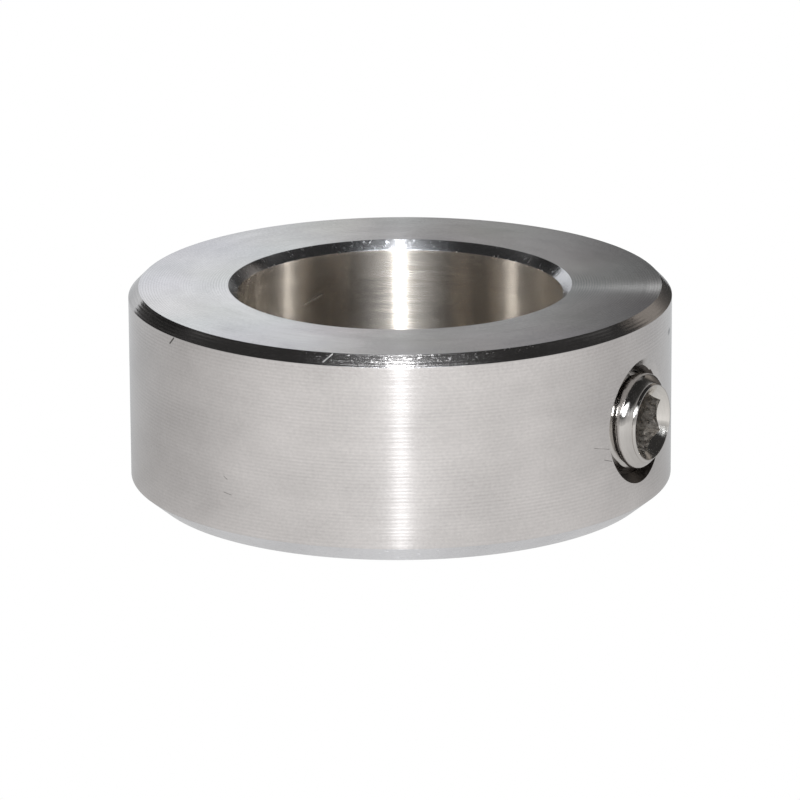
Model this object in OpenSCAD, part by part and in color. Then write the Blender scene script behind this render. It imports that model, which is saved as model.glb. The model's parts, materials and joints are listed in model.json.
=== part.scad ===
// Solid shaft collar (adjusting ring) with one hexagon socket set screw.
// Origin: bore centre at mid-width. +Z is the bore axis, +X the screw axis.

/* [Ring] */
// Outside diameter
ring_d = 40; // [38:0.5:45]
// Bore diameter, the shaft size
bore_d = 24; // [20:0.5:26]
// Width along the shaft
ring_w = 15.5; // [14:0.5:18]
// 45 degree chamfer on the outer edge of the top face
top_chamfer = 0.75; // [0.3:0.05:1]
// Height of the chamfer on the outer edge of the bottom face
bottom_chamfer_h = 1.3; // [0.3:0.1:1.5]
// Radial width of that bottom chamfer
bottom_chamfer_r = 1.6; // [0.3:0.1:2]
// 45 degree chamfer at both ends of the bore
bore_chamfer = 0.65; // [0.2:0.05:1]

/* [Screw hole] */
// Plain hole that stands for the M8 tapped hole
hole_d = 8; // [8:0.05:8.1]
// Diameter of the 90 degree countersink, level with the outside diameter
countersink_d = 9.2; // [8.6:0.1:10]

/* [Set screw] */
// Outside diameter of the thread envelope
thread_d = 7.9; // [7.8:0.02:7.96]
// Overall length
screw_l = 8; // [8:1:12]
// How far the outer end stands proud of the ring
proud = 0.95; // [0:0.05:1.5]
// Diameter of the plain run-out band below the outer end
band_d = 6.9; // [6.5:0.1:7]
// Length of the run-out band and its end chamfer together
band_l = 1.3; // [1:0.05:1.5]
// Diameter of the rim round the socket mouth
rim_d = 5.6; // [5.3:0.1:6]
// Diameter of the conical lead-in at the socket mouth
lead_in_d = 5.4; // [4.8:0.1:5.4]
// Socket size across flats
socket_af = 4; // [3.9:0.01:4.1]
// Socket depth to the end of the flats
socket_depth = 4; // [2.5:0.1:5]
// Diameter of the cup point's rim
cup_d = 5; // [4.5:0.1:5.5]
// Depth of the cup
cup_depth = 1.2; // [0.5:0.1:1.4]
// Width of the flat land round the cup
cup_land = 0.1; // [0.05:0.05:0.3]

/* [Hidden] */
$fn = 128;

cut = 1;                                  // how far a cutter runs past a face
ring_r = ring_d / 2;
bore_r = bore_d / 2;
half_w = ring_w / 2;
outer_end = ring_r + proud;               // screw's outer end, from the bore axis
point_end = outer_end - screw_l;          // cup point, from the bore axis
end_chamfer = (band_d - rim_d) / 2;       // 45 degree chamfer on the outer end
point_chamfer = (thread_d - cup_d) / 2;   // 45 degree chamfer on the cup point
thread_start = outer_end - band_l;        // where the full thread ends
crest_chamfer = (thread_d - band_d) / 2;  // 45 degree start of the first thread
socket_corner_r = socket_af / sqrt(3);    // across-corners radius of the hexagon
lead_in_l = (lead_in_d - socket_af) / 2;  // 90 degree cone, down to the flats

// Turns a solid that is drawn along +Z to lie along +X
module along_x() {
    rotate([0, 90, 0]) children();
}

// Half section of the ring, turned about the bore axis
module ring_section() {
    polygon([
        [bore_r + bore_chamfer, -half_w],
        [ring_r - bottom_chamfer_r, -half_w],
        [ring_r, -half_w + bottom_chamfer_h],
        [ring_r, half_w - top_chamfer],
        [ring_r - top_chamfer, half_w],
        [bore_r + bore_chamfer, half_w],
        [bore_r, half_w - bore_chamfer],
        [bore_r, -half_w + bore_chamfer],
    ]);
}

// Screw hole through one wall, with its 90 degree countersink
module screw_hole() {
    countersink_r = countersink_d / 2;
    inner = bore_r / 2;
    along_x() translate([0, 0, inner])
        cylinder(d = hole_d, h = ring_r + cut - inner);
    along_x() translate([0, 0, ring_r - countersink_r])
        cylinder(r1 = 0, r2 = countersink_r + cut, h = countersink_r + cut);
}

// Half section of the screw, with its axis as the y axis
module screw_section() {
    polygon([
        [0, point_end],
        [cup_d / 2, point_end],
        [thread_d / 2, point_end + point_chamfer],
        [thread_d / 2, thread_start - crest_chamfer],
        [band_d / 2, thread_start],
        [band_d / 2, outer_end - end_chamfer],
        [rim_d / 2, outer_end],
        [0, outer_end],
    ]);
}

// Hexagon socket with a conical mouth and a drilled bottom
module socket() {
    floor_x = outer_end - socket_depth;
    drill_r = socket_af / 2;
    along_x() translate([0, 0, floor_x])
        cylinder(r = socket_corner_r, h = socket_depth + cut, $fn = 6);
    along_x() translate([0, 0, outer_end - lead_in_d / 2])
        cylinder(r1 = 0, r2 = lead_in_d / 2 + cut, h = lead_in_d / 2 + cut);
    along_x() translate([0, 0, floor_x - drill_r / 2])
        cylinder(r1 = 0, r2 = drill_r, h = drill_r / 2);
}

// Conical hollow in the point, whose rim bites into the shaft
module cup() {
    mouth_r = cup_d / 2 - cup_land;
    slope = mouth_r / cup_depth;
    along_x() translate([0, 0, point_end - cut])
        cylinder(r1 = mouth_r + cut * slope, r2 = 0, h = cup_depth + cut);
}

module collar_ring() {
    color("silver") difference() {
        rotate_extrude() ring_section();
        screw_hole();
    }
}

module set_screw() {
    color("gainsboro") difference() {
        along_x() rotate_extrude() screw_section();
        socket();
        cup();
    }
}

collar_ring();
set_screw();
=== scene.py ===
"""Looks for a set screw shaft collar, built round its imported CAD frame."""

import json
import math

import bmesh
import bpy
from mathutils import Matrix, Vector


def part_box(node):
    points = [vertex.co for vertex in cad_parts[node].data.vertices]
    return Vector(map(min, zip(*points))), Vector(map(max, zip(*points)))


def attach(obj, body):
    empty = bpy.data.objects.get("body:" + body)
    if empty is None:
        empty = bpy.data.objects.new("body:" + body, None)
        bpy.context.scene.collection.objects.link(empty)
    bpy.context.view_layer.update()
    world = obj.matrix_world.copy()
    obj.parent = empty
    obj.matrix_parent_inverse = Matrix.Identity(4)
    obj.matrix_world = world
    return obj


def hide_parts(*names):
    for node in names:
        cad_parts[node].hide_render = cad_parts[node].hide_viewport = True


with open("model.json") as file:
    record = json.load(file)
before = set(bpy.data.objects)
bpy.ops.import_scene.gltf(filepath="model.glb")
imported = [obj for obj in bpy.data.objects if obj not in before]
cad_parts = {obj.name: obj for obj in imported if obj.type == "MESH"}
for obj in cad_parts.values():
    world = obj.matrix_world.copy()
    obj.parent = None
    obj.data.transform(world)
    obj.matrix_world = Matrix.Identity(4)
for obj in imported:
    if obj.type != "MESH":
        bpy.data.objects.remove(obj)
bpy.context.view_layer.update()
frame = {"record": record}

# ---------------------------------------------------------------- sizes, in millimetres
MM = 0.001
_, ring_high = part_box("collar_ring")
screw_low, screw_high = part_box("set_screw")
mounts = {m["name"]: m for m in frame["record"]["mounts"]}

# the ring, with its bore along Z
RING_R = ring_high.x / MM
HALF_W = ring_high.z / MM
BORE_R = mounts["shaft_bore"]["dims"]["r_mm"]
TOP_CHAMFER = 0.75
BOTTOM_CHAMFER_H = 1.3
BOTTOM_CHAMFER_R = 1.6
BORE_CHAMFER = HALF_W - mounts["shaft_bore"]["dims"]["length_mm"] / 2
COUNTERSINK_R = 4.6
PAINTED_SHADE_BELOW = -2.2  # painted shade: the countersink below this height takes the thread's dark material

# the screw along X, whose lengths BAND_L, SHOULDER_L and GROOVE_L start from its outer end
SCREW_OUT = screw_high.x / MM
SCREW_POINT = screw_low.x / MM
BAND_R = 3.5
BAND_L = 0.95
SHOULDER_L = 0.7
SHOULDER_ROUND = 0.55
GROOVE_R = 2.96
GROOVE_L = 0.2
RIM_R = 2.78
RIM_ROUND = 0.02
LEAD_IN_R = 2.72
SOCKET_HALF_AF = 2.0
SOCKET_DEPTH = 4.0
CUP_R = 2.4
CUP_RIM_R = 2.5
CUP_DEPTH = 1.2

# the thread: PHASE is where a ridge stands at angle 0, and a half is half the width of a flat
PITCH = 1.25
PHASE = -0.5
SCREW_CREST_R = 3.95
SCREW_ROOT_R = 3.25
SCREW_CREST_HALF = 0.078
HOLE_CREST_R = 3.36
HOLE_ROOT_R = 4.02
HOLE_ROOT_HALF = 0.108
FLANK_SLOPE = math.tan(math.radians(60))
# from these places outwards, the hole's crests are opened out and the screw's crests taper off
WIDE_FROM = 17.05
WIDE_CREST_R = 3.56
TAPER_START = 18.72
TAPER_SLOPE = 0.75
# over this length the screw's thread fades into its band
FADE_LENGTH = 0.3

# mesh density
RING_COLUMNS = 384
BORE_COLUMNS = 240
HOLE_COLUMNS = 144
PATCH_CELLS = HOLE_COLUMNS // 4
ROWS_PER_PITCH = 16
FILLET_STEPS = 3
SHARP_DEGREES = 40
WELD = 2e-7


# ---------------------------------------------------------------- mesh building
class Shell:
    """Collects vertices and faces in millimetres, then welds them into one closed mesh."""

    def __init__(self):
        self.verts = []
        self.faces = []
        self.slots = []

    def loop(self, points):
        start = len(self.verts)
        self.verts += points
        return list(range(start, start + len(points)))

    def face(self, corners, slot):
        self.faces.append(corners)
        self.slots.append(slot)

    def band(self, a, b, slot):
        """Quads between two closed loops with the same number of vertices."""
        n = len(a)
        for i in range(n):
            j = (i + 1) % n
            self.face([a[i], a[j], b[j], b[i]], slot)

    def zipper(self, a, b, slot):
        """Triangles between two closed loops with different numbers of vertices."""
        n, m = len(a), len(b)
        i = j = 0
        while i < n or j < m:
            if j >= m or (i < n and (i + 1) / n <= (j + 1) / m):
                self.face([a[i % n], a[(i + 1) % n], b[j % m]], slot)
                i += 1
            else:
                self.face([a[i % n], b[(j + 1) % m], b[j % m]], slot)
                j += 1

    def fan(self, a, point, slot):
        """Triangles from a closed loop to one point."""
        tip = self.loop([point])[0]
        n = len(a)
        for i in range(n):
            self.face([a[i], a[(i + 1) % n], tip], slot)

    def build(self, name, materials):
        mesh = bpy.data.meshes.new(name)
        bm = bmesh.new()
        made = [bm.verts.new(Vector(v) * MM) for v in self.verts]
        for corners, slot in zip(self.faces, self.slots):
            f = bm.faces.new([made[c] for c in corners])
            f.material_index = slot
            f.smooth = True
        bmesh.ops.remove_doubles(bm, verts=bm.verts, dist=WELD)
        bmesh.ops.dissolve_degenerate(bm, edges=bm.edges, dist=WELD)
        bmesh.ops.recalc_face_normals(bm, faces=bm.faces)
        limit = math.radians(SHARP_DEGREES)
        for e in bm.edges:
            if len(e.link_faces) == 2 and e.calc_face_angle() > limit:
                e.smooth = False
        bm.to_mesh(mesh)
        bm.free()
        for m in materials:
            mesh.materials.append(m)
        piece = add_object(name, mesh)
        shade = piece.modifiers.new("shade", "WEIGHTED_NORMAL")
        shade.keep_sharp = True
        shade.weight = 80
        return piece


def add_object(name, data):
    thing = bpy.data.objects.new(name, data)
    bpy.context.scene.collection.objects.link(thing)
    return thing


def round_corner(before, corner, after, radius, steps):
    """Points of a small fillet at a corner of a half section."""
    p, c, n = (Vector(v) for v in (before, corner, after))
    a, b = (p - c).normalized(), (n - c).normalized()
    half = a.angle(b) / 2
    reach = radius / math.tan(half)
    centre = c + (a + b).normalized() * (radius / math.sin(half))
    start, end = c + a * reach - centre, c + b * reach - centre
    return [
        tuple(centre + start.slerp(end, k / steps).normalized() * radius)
        for k in range(steps + 1)
    ]


def direction(azimuth, elevation):
    """Unit vector towards a place round the bore axis: azimuth 0 is -Y and 90 is +X."""
    a, e = math.radians(azimuth), math.radians(elevation)
    return Vector((math.sin(a) * math.cos(e), -math.cos(a) * math.cos(e), math.sin(e)))


def circle(r, z, columns):
    """Points of a circle about the bore axis, starting on the screw's side."""
    step = 2 * math.pi / columns
    return [(r * math.cos(i * step), r * math.sin(i * step), z) for i in range(columns)]


def meet_cylinder(r_cyl, radius_at):
    """Where the hole's wall meets a cylinder about the bore axis, as x in each column."""
    rounds = 60
    found = []
    for i in range(HOLE_COLUMNS):
        turn = i / HOLE_COLUMNS
        c = math.cos(2 * math.pi * turn)
        x = r_cyl
        for _ in range(rounds):
            x = 0.5 * x + 0.5 * math.sqrt(r_cyl**2 - (radius_at(x, turn) * c) ** 2)
        found.append(x)
    return found


def square_corner_cells():
    """The cells (column, row) round the edge of a square patch, counter-clockwise from angle 0."""
    h = PATCH_CELLS // 2
    cells = [(h, k) for k in range(0, h)]
    cells += [(k, h) for k in range(h, -h, -1)]
    cells += [(-h, k) for k in range(h, -h, -1)]
    cells += [(k, -h) for k in range(-h, h)]
    cells += [(h, k) for k in range(-h, 0)]
    return cells


def holed_cylinder(shell, r, columns, z_low, z_high, hole, slot):
    """A cylinder's wall from z_low to z_high with the screw hole's outline cut out of it.

    hole holds the outline's vertices. Returns the bottom and top loops."""
    end_rows = 4
    rings = 10
    crowding = 1.3  # above 1, the rings crowd towards the hole
    step = 2 * math.pi / columns
    cell = r * step
    h = PATCH_CELLS // 2
    heights = [z_low + (-h * cell - z_low) * k / end_rows for k in range(end_rows)]
    heights += [k * cell for k in range(-h, h + 1)]
    heights += [h * cell + (z_high - h * cell) * (k + 1) / end_rows for k in range(end_rows)]
    loops = [shell.loop(circle(r, z, columns)) for z in heights]
    for k in range(len(loops) - 1):
        inside_rows = end_rows <= k < end_rows + 2 * h
        for i in range(columns):
            signed = i if i < columns // 2 else i - columns
            if inside_rows and -h <= signed < h:
                continue
            j = (i + 1) % columns
            a, b = loops[k], loops[k + 1]
            shell.face([a[i], a[j], b[j], b[i]], slot)
    cells = square_corner_cells()
    rim = [loops[end_rows + h + row][col % columns] for col, row in cells]
    previous = hole
    outline = [shell.verts[v] for v in hole]
    flat = [(r * math.atan2(y, x), z) for x, y, z in outline]
    for k in range(1, rings):
        t = (k / rings) ** crowding
        points = []
        for (s0, z0), (col, row) in zip(flat, cells):
            s = s0 + (col * cell - s0) * t
            z = z0 + (row * cell - z0) * t
            points.append((r * math.cos(s / r), r * math.sin(s / r), z))
        ring = shell.loop(points)
        shell.band(previous, ring, slot)
        previous = ring
    shell.band(previous, rim, slot)
    return loops[0], loops[-1]


# ---------------------------------------------------------------- thread
def pitch_offset(x, turn):
    """Distance along the axis from the middle of the nearest right-hand thread ridge."""
    return (x - PHASE - PITCH * turn + PITCH / 2) % PITCH - PITCH / 2


def screw_thread_r(x, turn):
    d = abs(pitch_offset(x, turn))
    r = SCREW_CREST_R - FLANK_SLOPE * max(0, d - SCREW_CREST_HALF)
    return max(SCREW_ROOT_R, r)


def hole_thread_r(x, turn):
    """The tapped hole's wall; its outer turns are opened out, so the screw's band can follow it in."""
    d = abs(pitch_offset(x, turn))
    r = HOLE_ROOT_R - FLANK_SLOPE * max(0, d - HOLE_ROOT_HALF)
    return max(WIDE_CREST_R if x > WIDE_FROM else HOLE_CREST_R, r)


def helical_grid(shell, radius_at, start_at, end_at, slot_at):
    """Rows that follow the thread's helix, from x = start to x = end in each column.

    slot_at gives a face's slot from its mean radius and height. Returns the two ends' vertices,
    one per column."""
    n = HOLE_COLUMNS
    low = min(start_at)
    rows = int((max(end_at) - low + PITCH) / PITCH * ROWS_PER_PITCH) + 2
    grid = []
    for i in range(n):
        turn = i / n
        a = 2 * math.pi * turn
        column = []
        for j in range(rows + 1):
            x = low - PITCH + PITCH * (j / ROWS_PER_PITCH + turn)
            x = min(max(x, start_at[i]), end_at[i])
            r = radius_at(x, turn)
            column.append((x, r * math.cos(a), r * math.sin(a)))
        grid.append(shell.loop(column))

    def quad(corners):
        radius = sum(math.hypot(*shell.verts[c][1:]) for c in corners) / 4
        height = sum(shell.verts[c][2] for c in corners) / 4
        shell.face(corners, slot_at(radius, height))

    for i in range(n - 1):
        for j in range(rows):
            p, q = grid[i], grid[i + 1]
            quad([p[j], q[j], q[j + 1], p[j + 1]])
    for j in range(rows - ROWS_PER_PITCH):
        p, q = grid[n - 1], grid[0]
        k = j + ROWS_PER_PITCH
        quad([p[j], q[k], q[k + 1], p[j + 1]])
    return [c[0] for c in grid], [c[-1] for c in grid]


# ---------------------------------------------------------------- shader nodes
class Graph:
    """Short calls that build a node tree; each returns the socket that the next one needs."""

    def __init__(self, owner):
        owner.use_nodes = True
        self.nodes = owner.node_tree.nodes
        self.links = owner.node_tree.links

    def put(self, value, socket):
        """Links a socket to an input, or sets the input to a number or a colour."""
        if isinstance(value, bpy.types.NodeSocket):
            self.links.new(value, socket)
        else:
            socket.default_value = value

    def node(self, kind, inputs=(), **settings):
        n = self.nodes.new(kind)
        for key, value in settings.items():
            setattr(n, key, value)
        for key, value in dict(inputs).items():
            self.put(value, n.inputs[key])
        return n

    def maths(self, operation, a, b=0.0, c=0.0):
        return self.node("ShaderNodeMath", {0: a, 1: b, 2: c}, operation=operation).outputs[0]

    def vector(self, operation, a, b=(0, 0, 0)):
        """A vector operation whose result is a vector."""
        return self.node("ShaderNodeVectorMath", {0: a, 1: b}, operation=operation).outputs["Vector"]

    def measure(self, operation, a, b=(0, 0, 0)):
        """A vector operation whose result is a number."""
        return self.node("ShaderNodeVectorMath", {0: a, 1: b}, operation=operation).outputs["Value"]

    def split(self, place):
        return self.node("ShaderNodeSeparateXYZ", {0: place}).outputs

    def join(self, x, y, z=0.0):
        return self.node("ShaderNodeCombineXYZ", {"X": x, "Y": y, "Z": z}).outputs[0]

    def fade(self, value, start, end, low=0.0, high=1.0):
        """low on start's side, high on end's side, and straight in between."""
        ends = {"Value": value, "From Min": start, "From Max": end, "To Min": low, "To Max": high}
        return self.node("ShaderNodeMapRange", ends).outputs["Result"]

    def mix(self, share, a, b, blend="MIX", kind="RGBA"):
        """a where share is 0 and b where it is 1; they are colours, or numbers with kind FLOAT."""
        ends = {"Factor": share, "A": a, "B": b}
        made = self.node("ShaderNodeMix", ends, data_type=kind, blend_type=blend)
        return made.outputs["Result"]

    def ramp(self, place, stops):
        """A colour ramp over stops of (position, colour), for any 0 to 1 value."""
        made = self.node("ShaderNodeValToRGB", {0: place})
        elements = made.color_ramp.elements
        while len(elements) < len(stops):
            elements.new(0.5)
        for step, (position, colour) in zip(elements, stops):
            step.position = position
            step.color = (*colour, 1)
        return made.outputs[0]

    def noise(self, place, scale, detail, roughness=0.5):
        """Noise with scale in cycles per metre; the node's own roughness is 0.5."""
        inputs = {"Vector": place, "Scale": scale, "Detail": detail, "Roughness": roughness}
        return self.node("ShaderNodeTexNoise", inputs).outputs


def shades(colour, dark, light):
    """A darker and a lighter shade of a colour, for the two ends of a mix."""
    return (*[c * dark for c in colour], 1), (*[min(1, c * light) for c in colour], 1)


def new_steel(name):
    """A metal material, with its graph and its shader's inputs."""
    mat = bpy.data.materials.new(name)
    graph = Graph(mat)
    shader = graph.nodes["Principled BSDF"].inputs
    shader["Metallic"].default_value = 1.0
    return mat, graph, shader


def stretch_highlights(graph, shader, axis, anisotropy):
    """Draws highlights out across fine rings round the axis, as on turned metal."""
    shader["Anisotropic"].default_value = anisotropy
    shader["Anisotropic Rotation"].default_value = 0.25
    tangent = graph.node("ShaderNodeTangent", direction_type="RADIAL", axis=axis)
    graph.put(tangent.outputs[0], shader["Tangent"])


# ---------------------------------------------------------------- turned steel
# noise drawn out round the axis: cycles per metre round it and across the rings, detail, seed
TOOL_LINES = (90, 9000, 3, 3.1)
BROAD_BANDS = (160, 260, 2, 9.4)
WOBBLE = (40, 900, 1, 5.2)
PATCHES = (70, 600, 2, 4.4)
CHIPS = (2500, 7000, 4, 7.7)
SPECKS = (3500, 9000, 2, 1.9)
RIPPLES = (900, 2600, 1, 2.3)
STREAK_ROUGHNESS = 0.6
# most of a noise's values lie in this range
NOISE_RANGE = (0.3, 0.7)
# even noise, in cycles per metre: a fine grain and the tint's broad film
GRAIN_SCALE = 4500
FILM_SCALE = 110
MICRON = 1e-6
# how high the wave and the tool lines are, for a groove of 1
WAVE_HEIGHT, LINE_HEIGHT = 0.5, 1.4
# radians by which the wave wanders
WOBBLE_TURN = 0.9
# how much the broad bands, the grain and the wave change the colour; the wave's change is painted shade of
# the turning grooves
BROAD_MOTTLE, GRAIN_MOTTLE = 1.1, 0.7
WAVE_CONTRAST, WAVE_OFFSET = 3.0, -0.7
# the specks' noise from none to full, and how dull a speck is for a sparkle of 1
SPECK_EDGES = (0.58, 0.7)
SPECK_DULLNESS = 0.02
# what a fully dull spot adds to the roughness
DULL_ROUGHNESS = 0.35
# a mark is at its strongest within this share of its half width
MARK_CORE = 0.3
NICK_COLOUR = (0.08, 0.075, 0.07, 1)
# most burrs are on this side of the top chamfer: start and end of a fade, and its low and high
BURR_SIDE = direction(31, 0)
BURR_FADE = (0.7, 0.96, 0.25, 1.0)
BURR_RISE = ((HALF_W - TOP_CHAMFER) * MM, HALF_W * MM, 0.55, 1.3)


def streaks(graph, turned, round_scale, across_scale, detail, seed):
    """Noise drawn out round the axis; turned holds x, y and the place across the rings."""
    x, y, across = turned
    spot = graph.join(
        graph.maths("MULTIPLY", x, round_scale),
        graph.maths("MULTIPLY", y, round_scale),
        graph.maths("MULTIPLY", across, across_scale),
    )
    moved = graph.vector("ADD", spot, (seed, seed * 1.7, seed * 0.6))
    return graph.noise(moved, 1.0, detail, STREAK_ROUGHNESS)["Fac"]


def burr_patch(graph, flat, z):
    """Strong on one side of the ring and towards the chamfer's upper edge, faint elsewhere."""
    unit = graph.vector("NORMALIZE", flat)
    toward = graph.measure("DOT_PRODUCT", unit, BURR_SIDE)
    patch = graph.fade(toward, *BURR_FADE)
    return graph.maths("MULTIPLY", patch, graph.fade(z, *BURR_RISE))


def near_any(graph, place, marks):
    """1 on the marks and 0 away from them."""
    cover = 0.0
    for first, last, half_width in marks:
        a, b = ((direction(turn, 0) * r + Vector((0, 0, z))) * MM for r, turn, z in (first, last))
        line = b - a
        start = graph.vector("SUBTRACT", place, a)
        part = graph.measure("DOT_PRODUCT", start, line / line.length_squared)
        inside = graph.node("ShaderNodeClamp", {"Value": part}).outputs[0]
        scaled = graph.node("ShaderNodeVectorMath", {0: line, "Scale": inside}, operation="SCALE")
        gap = graph.measure("DISTANCE", start, scaled.outputs["Vector"])
        mark = graph.fade(gap, half_width * MM, MARK_CORE * half_width * MM)
        cover = graph.maths("MAXIMUM", mark, cover)
    return cover


def turned_steel(
    name,
    along,
    colour,
    roughness,
    anisotropy,
    pitch,
    groove,
    lines=0.0,
    mottle=1.0,
    sparkle=0.0,
    ripple=0.0,
    tint=0.0,
    burred=False,
    nicks=(),
    scuffs=(),
):
    """Stainless steel turned on a lathe, with fine rings round Z.

    along points across the rings, as (outwards, up), and pitch is their spacing in millimetres.
    groove, sparkle and ripple are heights in micrometres, of the rings, of burrs and of waves.
    lines, mottle and tint vary the colour, and lines paints shade into the rings' grooves. nicks are dark
    marks and scuffs are dull ones."""
    mat, graph, shader = new_steel(name)
    stretch_highlights(graph, shader, "Z", anisotropy)
    place = graph.node("ShaderNodeTexCoord").outputs["Object"]
    x, y, z = graph.split(place)
    flat = graph.join(x, y)
    radius = graph.measure("LENGTH", flat)
    out, up = along
    across = graph.maths("ADD", graph.maths("MULTIPLY", radius, out), graph.maths("MULTIPLY", z, up))
    turned = (x, y, across)

    fine = streaks(graph, turned, *TOOL_LINES)
    wobble = graph.maths("MULTIPLY", streaks(graph, turned, *WOBBLE), WOBBLE_TURN)
    turns = graph.maths("MULTIPLY_ADD", across, 2 * math.pi / (pitch * MM), wobble)
    wave = graph.maths("SINE", turns)
    height = graph.maths(
        "ADD",
        graph.maths("MULTIPLY", wave, WAVE_HEIGHT * groove),
        graph.maths("MULTIPLY", fine, LINE_HEIGHT * groove),
    )
    dull = near_any(graph, place, scuffs)
    if sparkle:
        chips = graph.maths("POWER", streaks(graph, turned, *CHIPS), 3)
        chips = graph.maths("MULTIPLY", chips, sparkle)
        specks = graph.fade(streaks(graph, turned, *SPECKS), *SPECK_EDGES)
        if burred:
            patch = burr_patch(graph, flat, z)
            chips = graph.maths("MULTIPLY", chips, patch)
            specks = graph.maths("MULTIPLY", specks, patch)
        height = graph.maths("ADD", height, chips)
        specks = graph.maths("MULTIPLY", specks, SPECK_DULLNESS * sparkle)
        dull = graph.maths("MAXIMUM", dull, specks)
    if ripple:
        height = graph.maths("MULTIPLY_ADD", streaks(graph, turned, *RIPPLES), ripple, height)
    bump = graph.node("ShaderNodeBump", {"Height": height, "Strength": 1.0, "Distance": MICRON})
    graph.put(bump.outputs[0], shader["Normal"])

    broad = graph.maths("SUBTRACT", streaks(graph, turned, *BROAD_BANDS), 0.5)
    grain = graph.maths("SUBTRACT", graph.noise(place, GRAIN_SCALE, 2)["Fac"], 0.5)
    uneven = graph.maths("MULTIPLY_ADD", streaks(graph, turned, *PATCHES), WAVE_CONTRAST, WAVE_OFFSET)
    share = graph.maths("MULTIPLY_ADD", broad, BROAD_MOTTLE * mottle, 0.5)
    share = graph.maths("MULTIPLY_ADD", grain, GRAIN_MOTTLE * mottle, share)
    # lighter and darker rings along the wave: painted shade of the turning grooves
    share = graph.maths("MULTIPLY_ADD", graph.maths("MULTIPLY", wave, uneven), lines, share)
    tone = graph.mix(share, *shades(colour, 0.85, 1.15))
    if tint:
        film = graph.noise(place, FILM_SCALE, 1)["Color"]
        tone = graph.mix(tint, tone, film, "SOFT_LIGHT")
    if nicks:
        tone = graph.mix(near_any(graph, place, nicks), tone, NICK_COLOUR)
    graph.put(tone, shader["Base Color"])
    rough = graph.fade(fine, *NOISE_RANGE, roughness * 0.9, roughness * 1.1)
    rough = graph.maths("MULTIPLY_ADD", dull, DULL_ROUGHNESS, rough)
    graph.put(rough, shader["Roughness"])
    return mat


# ---------------------------------------------------------------- plain steel
def plain_steel(name, colour, roughness, grain, depth, anisotropy=0.0):
    """Smooth steel with a faint uneven surface, grain in cycles per metre and depth in metres.

    With anisotropy it is turned round the screw's axis."""
    mat, graph, shader = new_steel(name)
    place = graph.node("ShaderNodeTexCoord").outputs["Object"]
    stretch = (1, 1, 1)
    if anisotropy:
        stretch_highlights(graph, shader, "X", anisotropy)
        stretch = (3, 0.4, 0.4)
    drawn = graph.vector("MULTIPLY", place, stretch)
    cloud = graph.noise(drawn, grain, 4, STREAK_ROUGHNESS)["Fac"]
    bump = graph.node("ShaderNodeBump", {"Height": cloud, "Strength": 1.0, "Distance": depth})
    graph.put(bump.outputs[0], shader["Normal"])
    graph.put(graph.mix(cloud, *shades(colour, 0.85, 1.1)), shader["Base Color"])
    rough = graph.fade(cloud, *NOISE_RANGE, roughness * 0.7, roughness * 1.4)
    graph.put(rough, shader["Roughness"])
    return mat


STEEL = (0.62, 0.592, 0.578)
FACE_STEEL = (0.6, 0.59, 0.59)
BORE_STEEL = (0.715, 0.667, 0.608)
EDGE_STEEL = (0.58, 0.575, 0.585)
# the tapped hole's steel, darkened as painted shade inside the hole
PAINTED_SHADE_THREAD_STEEL = (0.1, 0.086, 0.077)
COUNTERSINK_STEEL = (0.68, 0.66, 0.65)
TURNING_PITCH = 0.262
UPWARDS, OUTWARDS, UP_THE_CHAMFER = (0, 1), (1, 0), (-0.7, 0.7)
HOLE_GRAIN = 3000

# small dents and scratches: two ends as (radius, azimuth, height), then the half width
OUTSIDE_NICKS = [
    ((RING_R, -25, 6.9), (RING_R, -26.5, 6.4), 0.09),
    ((RING_R, 108, 5), (RING_R, 110, 5), 0.3),
    ((RING_R, 73.5, -0.7), (RING_R, 78, -1.1), 0.025),
    ((RING_R, 76.5, -1.8), (RING_R, 79, -2.1), 0.025),
    ((RING_R, -10, -2.3), (RING_R, -9, -2.5), 0.025),
    ((RING_R, -10, -3.5), (RING_R, -8, -3.6), 0.025),
]
BORE_SCUFFS = [((BORE_R, 246, 3.5), (BORE_R, 239, 4), 0.07)]
CHAMFER_SCUFFS = [((RING_R - 0.2, 13.5, HALF_W - 0.55), (RING_R - 0.65, 15, HALF_W - 0.1), 0.07)]

OUTSIDE, FACE, EDGE, BORE, HOLE, COUNTERSINK, SOFT_EDGE = range(7)
ring_materials = [
    turned_steel(
        "ring_outside",
        UPWARDS,
        STEEL,
        roughness=0.14,
        anisotropy=1.0,
        pitch=TURNING_PITCH,
        groove=3.0,
        lines=0.11,
        nicks=OUTSIDE_NICKS,
    ),
    turned_steel(
        "ring_face",
        OUTWARDS,
        FACE_STEEL,
        roughness=0.15,
        anisotropy=1.0,
        pitch=0.2,
        groove=0.5,
        lines=0.35,
        mottle=1.8,
        tint=0.12,
    ),
    turned_steel(
        "ring_chamfer",
        UP_THE_CHAMFER,
        STEEL,
        roughness=0.152,
        anisotropy=0.97,
        pitch=TURNING_PITCH,
        groove=4.5,
        sparkle=18.0,
        burred=True,
        scuffs=CHAMFER_SCUFFS,
    ),
    turned_steel(
        "ring_bore",
        UPWARDS,
        BORE_STEEL,
        roughness=0.205,
        anisotropy=1.0,
        pitch=0.12,
        groove=0.0,
        mottle=2.5,
        ripple=8.0,
        scuffs=BORE_SCUFFS,
    ),
    plain_steel("ring_thread", PAINTED_SHADE_THREAD_STEEL, roughness=0.3, grain=HOLE_GRAIN, depth=4 * MICRON),
    plain_steel("ring_countersink", COUNTERSINK_STEEL, roughness=0.17, grain=HOLE_GRAIN, depth=2 * MICRON),
    turned_steel(
        "ring_soft_edge",
        UP_THE_CHAMFER,
        EDGE_STEEL,
        roughness=0.18,
        anisotropy=1.0,
        pitch=TURNING_PITCH,
        groove=3.0,
        sparkle=15.0,
    ),
]


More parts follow.
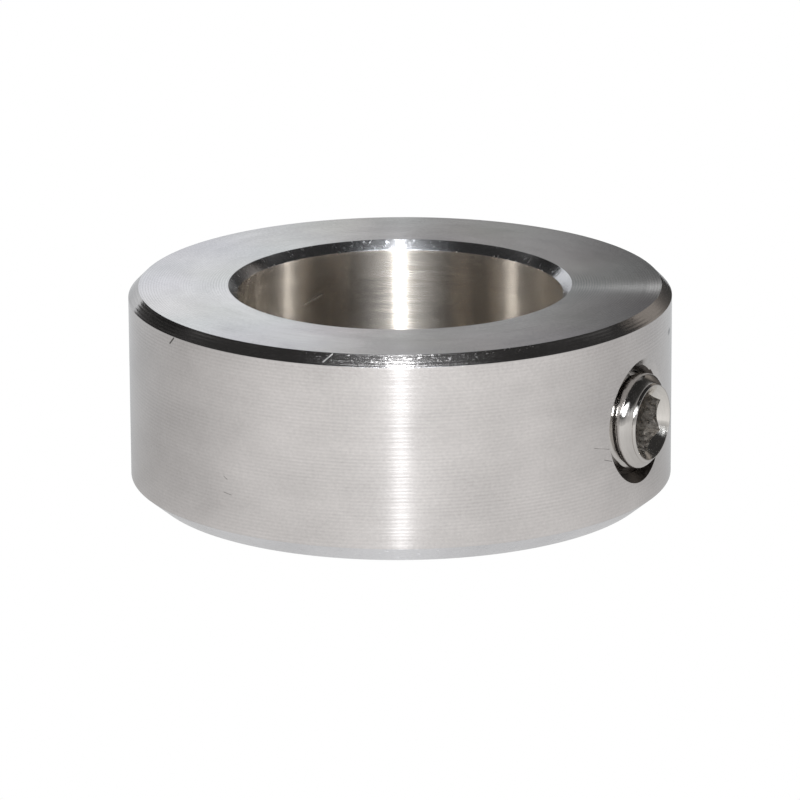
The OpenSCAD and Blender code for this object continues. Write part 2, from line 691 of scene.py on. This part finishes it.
# ---------------------------------------------------------------- the ring
def make_ring():
    shell = Shell()

    def hole_r(x, turn):
        return max(hole_thread_r(x, turn), COUNTERSINK_R + x - RING_R)

    def hole_slot(radius, height):
        # the countersink's lower faces take the thread's dark material, as painted shade
        unshaded_countersink = radius > HOLE_ROOT_R and height > PAINTED_SHADE_BELOW
        return COUNTERSINK if unshaded_countersink else HOLE

    inner = meet_cylinder(BORE_R, hole_r)
    outer = meet_cylinder(RING_R, hole_r)
    bore_rim, outside_rim = helical_grid(shell, hole_r, inner, outer, hole_slot)

    # the half section's corners as (radius, height), each with its fillet and number of columns
    z_top, z_bottom = HALF_W, -HALF_W
    section = [
        ((RING_R, z_bottom + BOTTOM_CHAMFER_H), 0.05, RING_COLUMNS),
        ((RING_R, z_top - TOP_CHAMFER), 0.01, RING_COLUMNS),
        ((RING_R - TOP_CHAMFER, z_top), 0.01, RING_COLUMNS),
        ((BORE_R + BORE_CHAMFER, z_top), 0.03, BORE_COLUMNS),
        ((BORE_R, z_top - BORE_CHAMFER), 0.02, BORE_COLUMNS),
        ((BORE_R, z_bottom + BORE_CHAMFER), 0.03, BORE_COLUMNS),
        ((BORE_R + BORE_CHAMFER, z_bottom), 0.03, BORE_COLUMNS),
        ((RING_R - BOTTOM_CHAMFER_R, z_bottom), 0.05, RING_COLUMNS),
    ]
    arcs = []
    ends = []
    for k, (corner, fillet, columns) in enumerate(section):
        before, after = section[k - 1][0], section[(k + 1) % len(section)][0]
        arc = round_corner(before, corner, after, fillet, FILLET_STEPS)
        loops = [shell.loop(circle(r, z, columns)) for r, z in arc]
        for a, b in zip(loops, loops[1:]):
            shell.band(a, b, SOFT_EDGE)
        arcs.append(arc)
        ends.append((loops[0], loops[-1]))

    low, high = holed_cylinder(
        shell, RING_R, RING_COLUMNS, arcs[0][-1][1], arcs[1][0][1], outside_rim, OUTSIDE
    )
    shell.band(ends[0][1], low, OUTSIDE)
    shell.band(high, ends[1][0], OUTSIDE)
    shell.band(ends[1][1], ends[2][0], EDGE)
    shell.zipper(ends[2][1], ends[3][0], FACE)
    shell.band(ends[3][1], ends[4][0], SOFT_EDGE)
    low, high = holed_cylinder(
        shell, BORE_R, BORE_COLUMNS, arcs[5][0][1], arcs[4][-1][1], bore_rim, BORE
    )
    shell.band(ends[4][1], high, BORE)
    shell.band(low, ends[5][0], BORE)
    shell.band(ends[5][1], ends[6][0], SOFT_EDGE)
    shell.zipper(ends[6][1], ends[7][0], FACE)
    shell.band(ends[7][1], ends[0][0], SOFT_EDGE)
    return shell.build("collar_ring_turned", ring_materials)


ring = make_ring()
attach(ring, "collar_ring")
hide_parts("collar_ring")


# ---------------------------------------------------------------- the set screw
SCREW_STEEL = (0.57, 0.545, 0.52)
SOCKET_STEEL = (0.42, 0.39, 0.355)
MOUTH_STEEL = (0.74, 0.71, 0.67)
SCREW_ROUGHNESS, SOCKET_ROUGHNESS = 0.115, 0.35
SCREW_GRAIN = 2500
THREAD_END = SCREW_OUT - BAND_L
MOUTH_ROWS = 3
SOCKET_ROWS = 8

SCREW_BODY, SCREW_SOCKET, SCREW_MOUTH = range(3)
screw_materials = [
    plain_steel("screw_body", SCREW_STEEL, SCREW_ROUGHNESS, SCREW_GRAIN, 2 * MICRON, anisotropy=1.0),
    plain_steel("screw_socket", SOCKET_STEEL, SOCKET_ROUGHNESS, SCREW_GRAIN, 6 * MICRON),
    plain_steel("screw_mouth", MOUTH_STEEL, SCREW_ROUGHNESS, SCREW_GRAIN, 2 * MICRON, anisotropy=1.0),
]


def body_r(x, turn):
    """The screw's radius: its thread fades out at the band, tapers outwards and is chamfered."""
    fade = min(1, max(0, (THREAD_END - x) / FADE_LENGTH))
    r = BAND_R + (screw_thread_r(x, turn) - BAND_R) * fade
    taper = SCREW_CREST_R - TAPER_SLOPE * max(0, x - TAPER_START)
    return min(r, max(taper, BAND_R), CUP_RIM_R + x - SCREW_POINT)


def end_profile():
    """Points (x, radius) from the band's start to the conical lead-in in the socket's mouth."""
    groove_x = SCREW_OUT - GROOVE_L
    shoulder = (SCREW_OUT - SHOULDER_L, BAND_R)
    points = round_corner(
        (THREAD_END, BAND_R), shoulder, (groove_x, GROOVE_R), SHOULDER_ROUND, 2 * FILLET_STEPS
    )
    # a fine groove between the shoulder and the rim
    for x, r in ((-0.02, 0.02), (0.01, -0.07), (0.05, -0.06)):
        points.append((groove_x + x, GROOVE_R + r))
    after_groove = (groove_x + 0.05, GROOVE_R - 0.04)
    points += round_corner(after_groove, (SCREW_OUT, RIM_R), (SCREW_OUT, 0), RIM_ROUND, FILLET_STEPS)
    outside, inside = (SCREW_OUT, RIM_R + 1), (SCREW_OUT - 1, LEAD_IN_R - 1)
    points += round_corner(outside, (SCREW_OUT, LEAD_IN_R), inside, RIM_ROUND, 2)
    return points


def make_screw():
    shell = Shell()
    n = HOLE_COLUMNS
    step = 2 * math.pi / n

    def ring_at(xs, rs):
        """A loop about the screw's axis; xs and rs hold a place along it and a radius per column."""
        spots = enumerate(zip(xs, rs))
        return shell.loop([(x, r * math.cos(i * step), r * math.sin(i * step)) for i, (x, r) in spots])

    def round_at(x, r):
        return ring_at([x] * n, [r] * n)

    def between(a, b, t):
        return [p + (q - p) * t for p, q in zip(a, b)]

    point_rim, band_rim = helical_grid(
        shell, body_r, [SCREW_POINT] * n, [THREAD_END] * n, lambda radius, height: SCREW_BODY
    )
    profile = end_profile()
    previous = band_rim
    for x, r in profile:
        loop = round_at(x, r)
        shell.band(previous, loop, SCREW_BODY)
        previous = loop

    # the socket: a cone down to the hexagon, its flats and its drilled bottom
    hexagon = []
    for i in range(n):
        side = (i * 360 / n + 30) % 60 - 30
        hexagon.append(SOCKET_HALF_AF / math.cos(math.radians(side)))
    lip = [SCREW_OUT - (LEAD_IN_R - r) for r in hexagon]
    last_x, last_r = profile[-1]
    for k in range(1, MOUTH_ROWS + 1):
        t = k / MOUTH_ROWS
        loop = ring_at(between([last_x] * n, lip, t), between([last_r] * n, hexagon, t))
        shell.band(previous, loop, SCREW_MOUTH)
        previous = loop
    floor_x = SCREW_OUT - SOCKET_DEPTH
    for k in range(1, SOCKET_ROWS + 1):
        loop = ring_at(between(lip, [floor_x] * n, k / SOCKET_ROWS), hexagon)
        shell.band(previous, loop, SCREW_SOCKET)
        previous = loop
    shell.fan(previous, (floor_x - SOCKET_HALF_AF / 2, 0, 0), SCREW_SOCKET)

    # the cup point
    previous = point_rim
    for x, r in ((SCREW_POINT, CUP_R), (SCREW_POINT + CUP_DEPTH / 2, CUP_R / 2)):
        loop = round_at(x, r)
        shell.band(previous, loop, SCREW_BODY)
        previous = loop
    shell.fan(previous, (SCREW_POINT + CUP_DEPTH, 0, 0), SCREW_BODY)
    return shell.build("set_screw_threaded", screw_materials)


screw = make_screw()
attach(screw, "set_screw")
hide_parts("set_screw")


# ---------------------------------------------------------------- camera
# degrees: where it stands, how it leans and how far off the ring's middle it aims
CAMERA_AZIMUTH = 29.5
CAMERA_ELEVATION = 16.16
CAMERA_ROLL = -0.29
AIM_LEFT, AIM_DOWN = 0.0061, 0.1445
# metres
CAMERA_DISTANCE = 0.4604
CLIP_START = 0.01
# millimetres
SENSOR = 36.0
LENS = 280.2


def make_camera():
    data = bpy.data.cameras.new("camera")
    data.sensor_width = SENSOR
    data.lens = LENS
    data.clip_start = CLIP_START
    cam = add_object("camera", data)
    back = direction(CAMERA_AZIMUTH, CAMERA_ELEVATION)
    turn = back.to_track_quat("Z", "Y").to_matrix().to_4x4()
    aim = Matrix.Rotation(math.radians(AIM_LEFT), 4, "Y")
    aim = aim @ Matrix.Rotation(-math.radians(AIM_DOWN), 4, "X")
    roll = Matrix.Rotation(math.radians(CAMERA_ROLL), 4, "Z")
    cam.matrix_world = Matrix.Translation(back * CAMERA_DISTANCE) @ turn @ aim @ roll
    bpy.context.scene.camera = cam


make_camera()


# ---------------------------------------------------------------- lamps
FRONT = direction(CAMERA_AZIMUTH, 0)
SIDE = direction(CAMERA_AZIMUTH + 90, 0)
UP = Vector((0, 0, 1))

# sizes in metres, power in watts and angles in degrees
KEY_ELEVATION = 32
KEY_DISTANCE = 0.7
KEY_PLACE = direction(CAMERA_AZIMUTH, KEY_ELEVATION) * KEY_DISTANCE
KEY_WIDTH, KEY_HEIGHT = 0.04, 0.25
KEY_POWER = 8.5
KEY_COLOUR = (0.97, 1, 1.03)
# a small narrow-beamed lamp behind the ring, for the bright radial line on its top face
GLINT_PLACE = (SIDE * 36 - FRONT * 98 + UP * 34) * MM
GLINT_TARGET = (SIDE * 16.5 + UP * HALF_W) * MM
GLINT_SIZE = 3 * MM
GLINT_POWER = 0.000022
GLINT_SPREAD = 16


def area_light(name, place, target, width, height, power):
    data = bpy.data.lights.new(name, "AREA")
    data.shape = "RECTANGLE"
    data.size = width
    data.size_y = height
    data.energy = power
    lamp = add_object(name, data)
    lamp.location = place
    lamp.rotation_euler = (place - target).to_track_quat("Z", "Y").to_euler()
    return lamp


key = area_light("key_strip", KEY_PLACE, Vector(), KEY_WIDTH, KEY_HEIGHT, KEY_POWER)
key.data.color = KEY_COLOUR
glint = area_light("glint", GLINT_PLACE, GLINT_TARGET, GLINT_SIZE, GLINT_SIZE, GLINT_POWER)
glint.data.spread = math.radians(GLINT_SPREAD)
glint.visible_camera = False


# ---------------------------------------------------------------- surfaces that glow
WHITE = (1, 1, 1, 1)
BLACK = (0, 0, 0, 1)


def grey(light, warmth=0.0):
    return (light * (1 + warmth), light, light * (1 - warmth))


def glowing(name):
    """A material that only gives off light, with its graph and its Emission node's inputs."""
    mat = bpy.data.materials.new(name)
    graph = Graph(mat)
    graph.nodes.remove(graph.nodes["Principled BSDF"])
    lamp = graph.node("ShaderNodeEmission")
    graph.put(lamp.outputs[0], graph.nodes["Material Output"].inputs["Surface"])
    return mat, graph, lamp.inputs


# ---------------------------------------------------------------- backdrop card
# millimetres: the card's distance behind the ring, its top edge as (across, height) from left to
# right, and its colours as (across, colour)
CARD_BACK = 100
CARD_LEFT, CARD_RIGHT = -160, 180
CARD_TOP = [
    (CARD_LEFT, 8), (-78, 30), (-55, 44), (-40, 56), (40, 60),
    (90, 86), (120, 90), (140, 125), (CARD_RIGHT, 125),
]
CARD_COLOURS = [
    (CARD_LEFT, grey(0.82, -0.03)), (-60, grey(0.84, -0.03)), (-16, grey(0.94, -0.03)),
    (-9, grey(0.95, -0.02)), (-5, grey(0.82)), (-1, grey(0.56)), (3, grey(0.5)), (10, grey(0.47)),
    (15, grey(0.36)), (20, grey(0.18)), (34, grey(0.03, 0.01)), (60, grey(0.1, 0.05)),
    (90, grey(0.25, 0.08)), (125, grey(0.25, 0.08)), (160, grey(0.03, 0.05)),
]
# fades over the card's height and width: start, end, low and high
# CARD_LIFT dims the card towards the floor, a painted shade where it meets the floor, and brightens it
# towards its top
CARD_LIFT = (8 * MM, 46 * MM, 0.65, 1.13)
CARD_STEEP = (31 * MM, 42 * MM, 0.77, 1.08)
CARD_MIDDLE = (-12 * MM, 6 * MM)


def make_card():
    """A card close behind the ring that only reflections see: pale on the left and dark on the right.

    It is brighter towards its top, and more so from the middle to the right."""
    base = -FRONT * CARD_BACK
    points = []
    faces = []
    for k, (x, top) in enumerate(CARD_TOP):
        points += [base + SIDE * x + UP * z for z in (-HALF_W, top)]
        if k:
            faces.append((2 * k - 2, 2 * k, 2 * k + 1, 2 * k - 1))
    mesh = bpy.data.meshes.new("back_card")
    mesh.from_pydata([c * MM for c in points], [], faces)
    card = add_object("back_card", mesh)
    mat, graph, lamp = glowing("graded_card")
    place = graph.node("ShaderNodeTexCoord").outputs["Object"]
    across = graph.measure("DOT_PRODUCT", place, SIDE)
    height = graph.split(place)["Z"]
    share = graph.fade(across, CARD_LEFT * MM, CARD_RIGHT * MM)
    width = CARD_RIGHT - CARD_LEFT
    stops = [((x - CARD_LEFT) / width, colour) for x, colour in CARD_COLOURS]
    lift = graph.fade(height, *CARD_LIFT)
    steep = graph.fade(height, *CARD_STEEP)
    slope = graph.mix(graph.fade(across, *CARD_MIDDLE), 1.0, steep, kind="FLOAT")
    graph.put(graph.ramp(share, stops), lamp["Color"])
    graph.put(graph.maths("MULTIPLY", lift, slope), lamp["Strength"])
    mesh.materials.append(mat)
    card.visible_camera = False


make_card()


# ---------------------------------------------------------------- floor
# metres; the gap keeps the floor from being level with the ring's bottom face
FLOOR_R = 4
FLOOR_GAP = 0.02 * MM
# as (share, colour), from straight behind the ring to straight in front of it: painted light, brightest in
# front
FLOOR_COLOURS = [
    (0.0, grey(0.68, -0.02)), (0.1, grey(0.62, -0.02)), (0.5, grey(0.6)),
    (0.65, grey(0.71)), (0.85, grey(0.91)), (1.0, grey(0.98)),
]
# painted shadow on the floor inside the bore, which only reflections see
PAINTED_BORE_SHADOW = (0.075, 0.07, 0.065, 1)
# fades over the distance from the bore's axis, for the edge of the painted shadow inside the bore and the
# painted shade round the ring
BORE_EDGE = (0.011, 0.017)
RING_SHADE = (0.02, 0.06, 0.88, 1.0)


def make_floor():
    """A floor that the camera sees as white; reflections see it graded as painted light, with painted
    shade round the ring and a painted shadow inside the bore.
    """
    mesh = bpy.data.meshes.new("floor")
    bm = bmesh.new()
    bmesh.ops.create_circle(bm, cap_ends=True, segments=96, radius=FLOOR_R)
    bm.to_mesh(mesh)
    bm.free()
    floor = add_object("floor", mesh)
    floor.location.z = -HALF_W * MM - FLOOR_GAP
    mat, graph, lamp = glowing("pale_floor")
    place = graph.node("ShaderNodeTexCoord").outputs["Object"]
    reach = graph.measure("LENGTH", place)
    facing = graph.measure("DOT_PRODUCT", graph.vector("NORMALIZE", place), FRONT)
    table = graph.ramp(graph.fade(facing, -1.0, 1.0), FLOOR_COLOURS)
    dimmed = graph.mix(graph.fade(reach, *RING_SHADE), BLACK, table)
    shaded = graph.mix(graph.fade(reach, *BORE_EDGE), PAINTED_BORE_SHADOW, dimmed)
    seen = graph.node("ShaderNodeLightPath").outputs["Is Camera Ray"]
    graph.put(graph.mix(seen, shaded, WHITE), lamp["Color"])
    mesh.materials.append(mat)


make_floor()


# ---------------------------------------------------------------- surroundings
# light by height, from the horizon at 0 to straight above at 1
BACK_SKY = [(0.0, 0.75), (0.1, 0.7), (0.14, 0.3), (0.2, 0.05), (0.5, 0.015), (0.85, 0.03), (1.0, 0.04)]
SIDE_SKY = [(0.0, 0.75), (0.1, 0.6), (0.27, 0.27), (0.33, 0.04), (0.85, 0.03), (1.0, 0.04)]
CEILING = 0.28
# fades over how far a direction points ahead, from -1 straight back to 1, or up
BACK_TO_SIDE = (-0.56, -0.48)
CEILING_BACK = (-0.38, -0.47)
CEILING_UP = (0.6, 0.75)
# a soft round glow in front, with light by distance from its middle at 0 to its edge at 1
GLOW_ELEVATION = 32
GLOW_WIDTH = 0.62
GLOW_HEIGHT = 0.22
GLOW = [
    (0.0, 50.0), (0.1, 47.0), (0.2, 41.0), (0.35, 28.0),
    (0.5, 15.5), (0.7, 6.0), (0.85, 1.8), (1.0, 0.0),
]


def make_world():
    """White where the camera sees it; reflections see a dark sky, a ceiling behind and the glow."""
    world = bpy.data.worlds.new("studio")
    bpy.context.scene.world = world
    graph = Graph(world)
    place = graph.node("ShaderNodeTexCoord").outputs["Generated"]
    up = graph.split(place)["Z"]
    sideways = graph.measure("DOT_PRODUCT", place, SIDE)
    ahead = graph.measure("DOT_PRODUCT", place, FRONT)

    back_sky = graph.ramp(up, [(h, grey(light)) for h, light in BACK_SKY])
    side_sky = graph.ramp(up, [(h, grey(light)) for h, light in SIDE_SKY])
    sky = graph.mix(graph.fade(ahead, *BACK_TO_SIDE), back_sky, side_sky)
    behind = graph.fade(ahead, *CEILING_BACK)
    patch = graph.maths("MULTIPLY", behind, graph.fade(up, *CEILING_UP))
    sky = graph.mix(patch, sky, (*grey(CEILING), 1))

    level = graph.maths("SUBTRACT", up, math.sin(math.radians(GLOW_ELEVATION)))
    x = graph.maths("DIVIDE", sideways, GLOW_WIDTH)
    y = graph.maths("DIVIDE", level, GLOW_HEIGHT)
    away = graph.measure("LENGTH", graph.join(x, y))
    glow = graph.ramp(away, [(c, grey(light, -0.04)) for c, light in GLOW])
    glow = graph.mix(graph.maths("GREATER_THAN", ahead, 0.0), BLACK, glow)

    lit = graph.mix(1.0, sky, glow, "ADD")
    seen = graph.node("ShaderNodeLightPath").outputs["Is Camera Ray"]
    graph.put(graph.mix(seen, lit, WHITE), graph.nodes["Background"].inputs["Color"])


make_world()
bpy.context.scene.view_settings.view_transform = "Standard"
